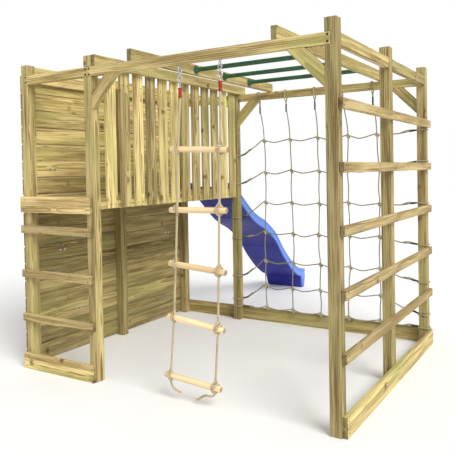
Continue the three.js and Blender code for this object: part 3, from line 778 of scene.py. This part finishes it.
for side, sign in (("left", -1), ("right", 1)):
    top = swing_axis + Vector((sign * rope_spacing / 2, 0, 0))
    lo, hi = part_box(f"ladder_eye_{side}")
    eye_centre = Vector((top.x, top.y, lo.z + eye_radius + wire))
    bm = add_tube(bmesh.new(), hoop(eye_centre, eye_radius, side_way, up_way), wire, closed=True)
    shank = eye_centre.z + eye_radius - 0.001
    turned([(0, 0), (0, 0.0042), (hi.z - 0.0035 - shank, 0.0042), (hi.z - 0.0032 - shank, 0.013),
            (hi.z - 0.0008 - shank, 0.013),
            (hi.z - shank, 0.0115), (hi.z - shank, 0)], 24, bm,
           Matrix.Translation((eye_centre.x, eye_centre.y, shank)) @ Matrix.Rotation(math.radians(-90), 4, "Y"))
    eye = finish_piece(smooth_by_angle(mesh_piece(f"eye_screw_{side}", bm, zinc)))
    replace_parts(eye, f"ladder_eye_{side}")
    # swivel hook: a small eye, a waisted barrel and a closed ring below it
    bm = add_tube(bmesh.new(), hoop(top + Vector((0, 0, -eye_radius)), eye_radius, front_way, up_way), wire,
                  closed=True)
    turned([(0, 0), (0, 0.0042), (0.002, 0.0060), (0.006, 0.0060), (0.0075, 0.0044), (0.009, 0.0044), (0.0105, 0.0060),
            (0.014, 0.0060), (0.016, 0.0044), (0.016, 0)], 24, bm,
            Matrix.Translation(top + Vector((0, 0, barrel_top))) @ down_turn)
    add_tube(bm, hoop(top + Vector((0, 0, ring_drop)), ring_radius, front_way, up_way), wire, closed=True)
    hook = finish_piece(smooth_by_angle(mesh_piece(f"swivel_hook_{side}", bm, zinc)), "ladder_upper")
    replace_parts(hook, f"ladder_hook_{side}")

# Rope ends: a steel bail hangs in each ring, and a ribbed red plastic sleeve clamps the rope's end round it.
red_plastic = Finish("red_plastic")
scuff = red_plastic.noise(red_plastic.place(), 120.0, 4.0, 0.6)
red_colour = red_plastic.mix(red_plastic.fade(scuff, 0.4, 0.8), (0.30, 0.008, 0.014), (0.44, 0.035, 0.035))
red_plastic = red_plastic.surface(Base_Color=red_colour, Roughness=0.34 + 0.2 * scuff,
                                  Normal=red_plastic.bump(scuff, 0.0002))
bail_wire = 0.0025
bail_top = ring_drop - ring_radius + wire + 0.0006 + bail_wire
sleeve_profile = [(0, 0), (0, 0.0108), (0.0012, 0.0128), (0.0062, 0.0130), (0.0078, 0.0118), (0.0095, 0.0100),
                  (0.0190, 0.0096),
                  (0.0200, 0.0108), (0.0228, 0.0108), (0.0238, 0.0096), (0.0320, 0.0096), (0.0330, 0.0108),
                  (0.0358, 0.0108),
                  (0.0368, 0.0096), (0.0465, 0.0100), (0.0482, 0.0118), (0.0498, 0.0130), (0.0548, 0.0128),
                  (0.056, 0.0108), (0.056, 0)]
for side, sign in (("left", -1), ("right", 1)):
    top = swing_axis + Vector((sign * rope_spacing / 2, 0, 0))
    clamp = sleeve_top[side]
    sleeve = turned(sleeve_profile, 28, place=Matrix.Translation(top + Vector((0, 0, clamp))) @ down_turn)
    sleeve = finish_piece(smooth_by_angle(mesh_piece(f"red_sleeve_{side}", sleeve, red_plastic), 30),
                          "ladder_upper")
    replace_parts(sleeve, f"ladder_thimble_{side}")
    legs = [(-0.004, clamp - 0.008), (-0.005, clamp + 0.002), (-0.0085, bail_top - 0.014), (-0.0074, bail_top - 0.0055),
            (-0.0042, bail_top - 0.0012)]
    hairpin = [(0, y, z) for y, z in legs] + [(0, 0, bail_top)] + [(0, -y, z) for y, z in reversed(legs)]
    line, _ = smooth_line([top + Vector(p) for p in hairpin], 0.002)
    finish_piece(mesh_piece(f"bail_{side}", add_tube(bmesh.new(), line, bail_wire), zinc), "ladder_upper")


# Climbing net: laid cord, 10 mm thick, in uprights looped over the rear beam and rows tied to two posts. Each crossing
# is a knot of two turns, and the ends are closed by black shrink sleeves.
net_rope = 0.005
net_finish = rope_finish("net_cord", (0.035, 0.032, 0.016), (0.43, 0.41, 0.27), 0.92)
net_left_lo, net_left_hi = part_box("post_rear_middle")
net_right_lo, net_right_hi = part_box("post_rear_right")
net_left, net_right = net_left_hi.x, net_right_lo.x
net_beam_lo, net_beam_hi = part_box("beam_rear_bay")
net_y = (net_beam_lo.y + net_beam_hi.y) / 2
net_lean = 0.032
cad_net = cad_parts["climbing_net"]
cord_spots = [v.co for v in cad_net.data.vertices]


def loop_middles(ends):
    """Middles of the CAD net's square loops along one axis, from the highest down."""
    ends = sorted({round(end, 3) for end in ends}, reverse=True)
    return [(a + b) / 2 for a, b in zip(ends[::2], ends[1::2])]


column_x = [x + net_lean for x in reversed(loop_middles(p.x for p in cord_spots if p.z > net_beam_hi.z + 0.004))]
left_ties = loop_middles(p.z for p in cord_spots if p.x < net_left_lo.x - 0.002)
right_ties = loop_middles(p.z for p in cord_spots if p.x > net_right_hi.x + 0.002)
crossing_z, above = [], net_beam_lo.z - 0.1
for _ in left_ties:
    spot = cad_net.ray_cast(Vector((column_x[2] + 0.03, net_y, above)), Vector((0, 0, -1)))[1]
    crossing_z.append(spot.z - net_rope)
    above = spot.z - 2.5 * net_rope
row_heights = list(zip(crossing_z, left_ties, right_ties))
apex_drop, sleeve_top = 0.040, 0.046
luck = random.Random(7)
crossing = {(i, j): Vector((x + luck.uniform(-0.010, 0.010), net_y, row_heights[j][0] + luck.uniform(-0.007, 0.007)))
            for i, x in enumerate(column_x) for j in range(7)}
columns, loops, sleeves = bmesh.new(), bmesh.new(), []
for i, x in enumerate(column_x):
    top = net_beam_lo.z
    apex = Vector((x - net_lean + luck.uniform(-0.010, 0.005), net_y, top - apex_drop))
    off = apex.x - luck.uniform(0.0, 0.018)
    points = [apex, apex + Vector((0.002, 0, -0.055))] + [apex.lerp(crossing[i, 0], 0.6) + Vector((0.004, 0, 0))]
    for j in range(7):
        points.append(crossing[i, j])
        if j < 6:
            points.append(crossing[i, j].lerp(crossing[i, j + 1],
                                              0.5) + Vector((luck.uniform(-0.007, 0.007), luck.uniform(-0.004, 0.004),
                                                             0)))
    points.append(crossing[i, 6] + Vector((0.004, 0, -0.045)))
    add_laid_rope(columns, smooth_line(points, 0.005)[0], net_rope, 0.030, 10)
    sleeves.append((apex + Vector((0, 0, sleeve_top - 0.058)), (apex - Vector((0, 0, 0.08)) - apex).normalized(),
                    0.070))
    # over the beam: up the front, across the top, down the back, both legs meeting under it
    bottom, over = net_beam_lo.z, net_beam_hi.z + 0.0062
    leg = [(off + 0.6 * (apex.x - off), 0.012, apex.z + 0.018), (off + 0.001, 0.0242, bottom - 0.004),
           (off, 0.0252, bottom + 0.012),
           (off - 0.001, 0.0252, over - 0.014), (off, 0.0212, over - 0.002), (off, 0.0112, over)]
    corners = [(apex.x, net_y - 0.004, apex.z - 0.004)] + [(px, net_y - py, pz) for px, py, pz in leg]
    corners += [(px, net_y + py, pz) for px, py, pz in reversed(leg)] + [(apex.x, net_y + 0.004, apex.z - 0.004)]
    add_laid_rope(loops, smooth_line(corners, 0.005)[0], net_rope, 0.030, 10)
rows = bmesh.new()
for j, (z, left, right) in enumerate(row_heights):
    points = [Vector((net_left + dx, net_y, left + rise * (z - left) - sag)) for dx, rise, sag in (
        (0.012, 0.0, 0.0), (0.050, 0.12, 0.003), (0.082, 0.26, 0.006), (0.108, 0.42, 0.008), (0.175, 0.76, 0.008))]
    ahead = points[1] - points[0]
    for i in range(5):
        here = crossing[i, j]
        points.append(here + Vector((-0.024, -0.003, 0.006)))
        points.append(here + Vector((0.0, -0.0095, 0.004)))
        points.append(here + Vector((0.024, -0.003, 0.000)))
        if i < 4:
            points.append(here.lerp(crossing[i + 1, j], 0.42) + Vector((0, 0, -0.012 - 0.008 * luck.random())))
    end = Vector((net_right - 0.012, net_y, right))
    points += [end.lerp(crossing[4, j], 0.45) + Vector((0, 0, -0.010)),
               end.lerp(crossing[4, j], 0.2) + Vector((0, 0, -0.004)), end]
    add_laid_rope(rows, smooth_line(points, 0.005)[0], net_rope, 0.030, 10)
    # each end of the row is turned back on itself and laid in, so the last stretch is two ropes thick
    turned_back = [[points[k] + Vector((0, 0, up)) for k, up in ((0, 0.001), (1, 0.005), (2, 0.010), (3, 0.009))],
                   [end.lerp(crossing[4, j], share) + Vector((0, 0, up)) for share,
                    up in ((0, 0.001), (0.12, 0.004), (0.24, 0.006))]]
    turned_back[0].append(points[3].lerp(points[4], 0.35))
    turned_back[1].append(end.lerp(crossing[4, j], 0.40) + Vector((0, 0, -0.007)))
    for splice in turned_back:
        add_laid_rope(loops, smooth_line(splice, 0.005)[0], net_rope, 0.030, 10)
    sleeves.append((points[0], ahead.normalized(), 0.060))
    sleeves.append((end, (points[-2] - end).normalized(), 0.052))
    for x0, x1, z0 in ((net_left - 0.065, net_left, left), (net_right, net_right + 0.065, right)):
        y0, y1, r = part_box("post_rear_middle")[0].y, net_beam_hi.y, 0.0062
        mid, inner = (x1, 1) if x1 == net_left else (x0, -1)
        loop = [(mid + inner * 0.012, net_y - 0.003, z0), (mid + inner * 0.004, y0 - 0.002, z0),
                (mid - inner * 0.008, y0 - r, z0 + 0.001),
                ((x0 + x1) / 2, y0 - r, z0 + 0.002)]
        other = x0 if x1 == net_left else x1
        loop += [(other + inner * 0.008, y0 - r, z0), (other - inner * (r - 0.002), y0 - 0.002, z0),
                 (other - inner * r, y0 + 0.012, z0),
                 (other - inner * r, y1 - 0.012, z0), (other - inner * (r - 0.002), y1 + 0.002, z0),
                 (other + inner * 0.008, y1 + r, z0),
                 ((x0 + x1) / 2, y1 + r, z0 - 0.002), (mid - inner * 0.008, y1 + r, z0),
                 (mid + inner * 0.004, y1 + 0.002, z0),
                 (mid + inner * 0.012, net_y + 0.003, z0)]
        add_laid_rope(loops, smooth_line(loop, 0.005)[0], net_rope, 0.030, 10)
columns = finish_piece(mesh_piece("net_uprights", columns, net_finish))
rows = finish_piece(mesh_piece("net_rows", rows, net_finish))
tie_finish = rope_finish("net_ties", (0.11, 0.095, 0.045), (0.60, 0.54, 0.34), 0.9)
loops = finish_piece(mesh_piece("net_loops", loops, tie_finish))
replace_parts(columns, "climbing_net")

black = Finish("shrink_sleeve")
creases = black.noise(black.place(), 260.0, 3.0)
black = black.surface(Base_Color=black.mix(creases, (0.010, 0.010, 0.011), (0.035, 0.034, 0.033)),
                      Roughness=0.42 + 0.25 * creases,
                      Normal=black.bump(creases, 0.0004))
bm = bmesh.new()
for start, way, length in sleeves:
    place = Matrix.Translation(start) @ way.to_track_quat("X", "Z").to_matrix().to_4x4()
    turned([(0, 0), (0, 0.0058), (0.003, 0.0072), (length * 0.3, 0.0066), (length * 0.5, 0.0073),
            (length * 0.7, 0.0066),
            (length - 0.003, 0.0072), (length, 0.0056), (length, 0)], 14, bm, place)
finish_piece(smooth_by_angle(mesh_piece("net_sleeves", bm, black), 50))

# a knot of two turns round the upright with one turn crossing over them, used at every crossing
bm = bmesh.new()
turn_radius = 0.0098
coil = [Vector((turn_radius * math.cos(math.tau * t / 14), turn_radius * math.sin(math.tau * t / 14),
                -0.0105 + 0.021 * t / 30))
        for t in range(31)]
cross = [Vector((0.0125 * math.cos(math.tau * t / 12 + 2.6), 0.0155 * math.sin(math.tau * t / 12 + 2.6),
                 0.016 * math.cos(math.tau * t / 12)))
         for t in range(10)]
for points in (coil, cross):
    add_laid_rope(bm, smooth_line(points, 0.0052)[0], 0.0048, 0.026, 8)
knot = mesh_piece("knot_template", bm, tie_finish)
knot_tree, given, out = node_tree("knots_at_points", [
    ("Knot", "NodeSocketObject"), ("Seed", "NodeSocketInt"), ("Material", "NodeSocketMaterial")])
one = geometry_node(knot_tree, "GeometryNodeObjectInfo", {}, {"Object": given.outputs["Knot"]})
spun = geometry_node(knot_tree, "FunctionNodeRandomValue", {"data_type": "FLOAT_VECTOR"}, {
    0: (-0.15, -0.15, -0.5), 1: (0.15, 0.15, 0.5), "Seed": given.outputs["Seed"]})
copies = geometry_node(knot_tree, "GeometryNodeInstanceOnPoints", {}, {
    "Points": given.outputs["Geometry"], "Instance": one.outputs["Geometry"], "Rotation": spun.outputs[0]})
numbered_and_real(knot_tree, given, copies.outputs[0], out)
places = bpy.data.meshes.new("net_knots")
places.from_pydata([tuple(p) for p in crossing.values()], [], [])
run_tree("net_knots", knot_tree, places, {"Knot": knot, "Seed": 3, "Material": tie_finish})
bpy.data.objects.remove(knot)


# Slide: one hollow moulded shell of blue polyethylene with rolled rims, waves down its length and a block foot that
# stands on the ground. Its head lies on the deck.
slide_lo, slide_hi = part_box("slide")
slide_mid = (slide_lo.x + slide_hi.x) / 2
half = (slide_hi.x - slide_lo.x) / 2
skin, rim = 0.014, 0.085


def bed_height(y):
    """Top of the CAD slide's bed at y, along its middle."""
    y = min(max(y, slide_lo.y + 0.001), slide_hi.y - 0.001)
    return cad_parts["slide"].ray_cast(Vector((slide_mid, y, slide_hi.z + 1)), Vector((0, 0, -1)))[1].z


run = slide_hi.y - slide_lo.y
bed, bed_length = smooth_line([(0, y, bed_height(y)) for y in (slide_lo.y + run * k / 24 for k in range(25))], 0.012)
# The last number of each spot is painted light: it rises from 0 on the inner slope to 1 over the rim and down the outer
# wall, which faces the sun, and falls back to 0 round the lower edge onto the belly.
wall_side = [  # from the bed's middle over the rim to the belly's middle: inwards from the outside, height, shade
    (half, 0.0, 0), (0.200, 0.0, 0), (0.130, 0.0, 0), (0.092, 0.0015, 0), (0.070, 0.006, 0), (0.056, 0.016, 0),
    (0.045, 0.034, 0),
    (0.037, 0.056, 0), (0.033, 0.070, 0.1), (0.030, 0.078, 0.4), (0.024, 0.0835, 1), (0.016, rim, 1),
    (0.008, 0.0835, 1),
    (0.002, 0.079, 1), (0.0, 0.071, 1), (0.0015, 0.063, 1), (0.0065, 0.059, 1), (0.0085, 0.054, 1), (0.0065, 0.020, 1),
    (0.004, 0.004, 1), (0.006, -0.006, 0.6), (0.013, -0.012, 0.1), (0.030, -skin, 0), (0.070, -skin, 0),
    (0.130, -skin, 0),
    (0.200, -skin, 0), (half, -skin, 0)]
section = [(1, *spot) for spot in wall_side] + [(-1, *spot) for spot in reversed(wall_side[1:-1])]
foot_length, foot_ease, rim_rise = 0.062, 0.05, 0.23
bm = bmesh.new()
painted_light_layer = bm.verts.layers.float.new("rim")
rings = []
rib_gap = bed_length / 9
for n, p in enumerate(bed):
    along = n * bed_length / (len(bed) - 1)
    toe = min(1.0, max(0.0, (p.y - (slide_hi.y - foot_length - foot_ease)) / foot_ease))
    toe = toe * toe * (3 - 2 * toe)
    to_end = min(along, bed_length - along)
    tuck = 0.004 * max(0.0, 1 - to_end / 0.006) ** 2
    rise = min(1.0, (p.y - slide_lo.y) / rim_rise)
    rise = 0.3 + 0.7 * rise * rise * (3 - 2 * rise)
    rib = 0.007 * math.exp(-((((along / rib_gap) % 1.0) - 0.5) * rib_gap / 0.011) ** 2)
    ring = []
    for sign, x, z, shade in section:
        inwards = x + (0.018 * toe if z <= -0.012 else 0.010 * toe if z <= -0.006 else 0.0)
        at_x = slide_mid + (0.0 if x == half else sign * (half - inwards - tuck))
        height = (z * rise if z > 0 else z) - (rib if z == -skin and inwards > 0.05 else 0.0) - (tuck if z > 0.05 else 0.0)
        if z <= -0.006:
            height = height * (1 - toe) + (z + skin - p.z) * toe
        vert = bm.verts.new((at_x, p.y, p.z + height))
        vert[painted_light_layer] = shade
        ring.append(vert)
    rings.append(ring)
count = len(section)
for a, b in zip(rings, rings[1:]):
    for k in range(count):
        bm.faces.new((a[k], b[k], b[(k + 1) % count], a[(k + 1) % count]))
last = len(wall_side) - 1
for ring in (rings[0], rings[-1]):  # each end is closed by a strip that joins the upper side to the lower
    for half_ring in (ring[:last + 1], [ring[-k % count] for k in range(last + 1)]):
        for k in range(last // 2):
            corners = [half_ring[k], half_ring[k + 1], half_ring[last - k - 1], half_ring[last - k]]
            bm.faces.new(corners[:2] + corners[3:] if corners[1] is corners[2] else corners)
bmesh.ops.recalc_face_normals(bm, faces=bm.faces)
blue = Finish("blue_plastic")
painted_rim_light = blue.attribute("rim", "Fac")
peel = blue.noise(blue.place(), 170.0, 2.0)
scuff = blue.noise(blue.node("ShaderNodeVectorMath", {"operation": "MULTIPLY"},
                             {0: blue.place(), 1: (14.0, 2.2, 3.0)}), 3.0, 5.0, 0.65)
bloom = blue.noise(blue.place(), 5.0, 3.0)
blue_colour = blue.mix(blue.fade(bloom, 0.35, 0.75), (0.010, 0.011, 0.23), (0.017, 0.022, 0.33))
# Painted light: where the rim value is 1 the blue turns pale sky blue, a painted sun-lit face and sky reflection on the
# outer wall.
blue_colour = blue.mix(painted_rim_light, blue_colour, (0.13, 0.26, 0.72))
blue_colour = blue.mix(blue.fade(scuff, 0.62, 0.80, 0.0, 0.22), blue_colour, (0.30, 0.36, 0.70))
blue = blue.surface(Base_Color=blue_colour, Roughness=0.34 + 0.25 * scuff, Normal=blue.bump(peel, 0.00015))
slide = finish_piece(smooth_by_angle(mesh_piece("slide_shell", bm, blue), 50))
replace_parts(slide, "slide")


# Fixings: dulled steel screws, two to a board at every post, and bolts through the front beams and the wall. The row is laid
# out on each face and every head is a copy of one.
def screw_head(radius, lift, slot_long, slot_wide, sides=16):
    bm = bmesh.new()
    levels = [(radius, -0.0002), (radius, lift * 0.45), (radius * 0.8, lift)]
    rings = [[bm.verts.new((r * math.cos(math.tau * k / sides), r * math.sin(math.tau * k / sides),
                            z)) for k in range(sides)]
             for r, z in levels]
    for z in (lift, lift * 0.2):
        star = []
        for k in range(sides):
            quarter = (k + 0.5) % (sides / 4)
            reach = slot_long if quarter < 1.01 or quarter > sides / 4 - 1.01 else slot_wide
            star.append(bm.verts.new((reach * math.cos(math.tau * k / sides), reach * math.sin(math.tau * k / sides),
                                      z)))
        rings.append(star)
    for a, b in zip(rings, rings[1:]):
        for k in range(sides):
            bm.faces.new((a[k], a[(k + 1) % sides], b[(k + 1) % sides], b[k]))
    bm.faces.new(rings[-1])
    return smooth_by_angle(mesh_piece("screw_template", bm, zinc), 40)


screw_tree, given, out = node_tree("heads_on_faces", [
    ("Head", "NodeSocketObject"), ("Seed", "NodeSocketInt"), ("Material", "NodeSocketMaterial")])
facing = geometry_node(screw_tree, "GeometryNodeInputNamedAttribute", {"data_type": "FLOAT_VECTOR"}, {"Name": "facing"})
spun = geometry_node(screw_tree, "FunctionNodeRandomValue", {"data_type": "FLOAT_VECTOR"}, {
    0: (0, 0, 0), 1: (0, 0, math.tau), "Seed": given.outputs["Seed"]})
stood = geometry_node(screw_tree, "FunctionNodeAlignRotationToVector", {"axis": "Z"}, {"Vector": facing.outputs[0]})
turned_in = geometry_node(screw_tree, "FunctionNodeRotateRotation", {"rotation_space": "LOCAL"}, {
    "Rotation": stood.outputs[0], "Rotate By": spun.outputs[0]})
one = geometry_node(screw_tree, "GeometryNodeObjectInfo", {}, {"Object": given.outputs["Head"]})
copies = geometry_node(screw_tree, "GeometryNodeInstanceOnPoints", {}, {
    "Points": given.outputs["Geometry"], "Instance": one.outputs["Geometry"], "Rotation": turned_in.outputs[0]})
numbered_and_real(screw_tree, given, copies.outputs[0], out)


dulled = Finish("dulled_steel")
soot = dulled.noise(dulled.place(), 90.0, 3.0)
dulled = dulled.surface(Base_Color=dulled.mix(soot, (0.030, 0.024, 0.016), (0.11, 0.092, 0.062)), Metallic=0.6,
                        Roughness=0.50 + 0.25 * soot, Normal=dulled.bump(soot, 0.0002))


def heads(name, template, spots, seed, metal=dulled):
    places = bpy.data.meshes.new(name)
    places.from_pydata([tuple(p) for p, way in spots], [], [])
    layer = places.attributes.new("facing", "FLOAT_VECTOR", "POINT")
    for i, (p, way) in enumerate(spots):
        layer.data[i].vector = way
    run_tree(name, screw_tree, places, {"Head": template, "Seed": seed, "Material": metal})
    bpy.data.objects.remove(template)


def middle(node):
    lo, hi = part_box(node)
    return (lo + hi) / 2


posts_right = ("post_front_right", "post_side_right", "post_rear_right")
spots = []
for i in range(1, 6):
    lo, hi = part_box(f"climb_board_{i}")
    for post in posts_right:
        for up, along in ((-0.012, -0.012), (0.012, 0.012)):
            spots.append((Vector((hi.x, middle(post).y + along, middle(f"climb_board_{i}").z + up)), (1, 0, 0)))
for node in ("tower_rung_1", "tower_rung_2", "tower_rung_3", "fascia_front", "ground_board_front"):
    lo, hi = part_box(node)
    reach = 0.30 * (hi.z - lo.z)
    for post in ("post_front_left", "post_front_middle"):
        for up, along in ((-reach, -0.010), (reach, 0.010)):
            spots.append((Vector((middle(post).x + along, lo.y, middle(node).z + up)), (0, -1, 0)))
lo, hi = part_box("ground_board_right")
for post in posts_right:
    for up in (-0.03, 0.03):
        spots.append((Vector((hi.x, middle(post).y, middle("ground_board_right").z + up)), (1, 0, 0)))
for i in range(slat_count):
    y = slat_start + slat_step * i + slat_wide / 2
    for z in (slat_low + guard_rail / 2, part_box("beam_front_bay")[0].z - guard_rail / 2):
        for off in (-0.028, 0.028):
            spots.append((Vector((guard_hi.x, y + off, z)), (1, 0, 0)))
for i in range(wall_count):
    z = wall_lo.z + wall_cover * (i + 0.5)
    for post in ("post_front_left", "post_wall_left", "post_rear_left"):
        for up in (-0.035, 0.035):
            spots.append((Vector((wall_lo.x, middle(post).y, z + up)), (-1, 0, 0)))
for i in range(deck_count):
    y = deck_lo.y + deck_step * i + (deck_step - deck_gap) / 2
    for x in (inner_left + 0.02, inner_right - 0.02):
        for off in (-0.03, 0.03):
            spots.append((Vector((x, y + off, deck_hi.z)), (0, 0, 1)))
heads("board_screws", screw_head(0.0042, 0.0010, 0.0026, 0.0010), spots, 21)
bolts = []
for node in ("beam_front_tower", "beam_front_bay"):
    lo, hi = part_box(node)
    for x in (lo.x + 0.015, hi.x - 0.015):
        for up in (-0.018, 0.018):
            bolts.append((Vector((x, lo.y, middle(node).z + up)), (0, -1, 0)))
heads("beam_bolts", screw_head(0.0065, 0.0040, 0.0001, 0.0001), bolts, 9)
# bright bolt heads in pairs, through the wall: the board counted from the ground, the bay, and how far along the bay
wall_posts = [middle(post).y for post in ("post_front_left", "post_wall_left", "post_rear_left")]
wall_bolts = []
for board, bay, share in ((11, 0, 1 / 4), (6, 0, 1 / 3), (2, 0, 1 / 2), (6, 1, 3 / 4)):
    y = wall_posts[bay] + (wall_posts[bay + 1] - wall_posts[bay]) * share
    z = wall_lo.z + wall_cover * (board + 0.5)
    wall_bolts += [(Vector((wall_hi.x, y + off, z)), (1, 0, 0)) for off in (-0.022, 0.022)]
heads("wall_bolts", screw_head(0.0095, 0.0045, 0.0001, 0.0001), wall_bolts, 4, zinc)

# Studio: a plain pale floor, white all round, and one broad soft light from the front right.
bm = bmesh.new()
bmesh.ops.create_grid(bm, x_segments=1, y_segments=1, size=30.0)
ground = Finish("floor_white")
grit = ground.noise(ground.place(), 3.0, 2.0)
ground = ground.surface(Base_Color=ground.mix(grit, (0.86, 0.86, 0.85), (0.90, 0.90, 0.89)), Roughness=0.9)
floor = mesh_piece("floor", bm, ground, False)
world = bpy.data.worlds.new("studio")
scene.world = world
world.use_nodes = True
world.node_tree.nodes.clear()
sky = world.node_tree.nodes.new("ShaderNodeBackground")
sky.inputs["Color"].default_value = (1.0, 1.0, 1.0, 1.0)
sky.inputs["Strength"].default_value = 0.62
seen = world.node_tree.nodes.new("ShaderNodeBackground")
seen.inputs["Color"].default_value = (1.0, 1.0, 1.0, 1.0)
seen.inputs["Strength"].default_value = 1.0
path = world.node_tree.nodes.new("ShaderNodeLightPath")
both = world.node_tree.nodes.new("ShaderNodeMixShader")
shown = world.node_tree.nodes.new("ShaderNodeOutputWorld")
world.node_tree.links.new(path.outputs["Is Camera Ray"], both.inputs[0])
world.node_tree.links.new(sky.outputs[0], both.inputs[1])
world.node_tree.links.new(seen.outputs[0], both.inputs[2])
world.node_tree.links.new(both.outputs[0], shown.inputs[0])
key_light = bpy.data.lights.new("key", "SUN")
key_light.energy = 2.9
key_light.angle = math.radians(35)
key = bpy.data.objects.new("key", key_light)
key.matrix_world = Vector((0.85, -0.45, 0.80)).to_track_quat("Z", "Y").to_matrix().to_4x4()
scene.collection.objects.link(key)
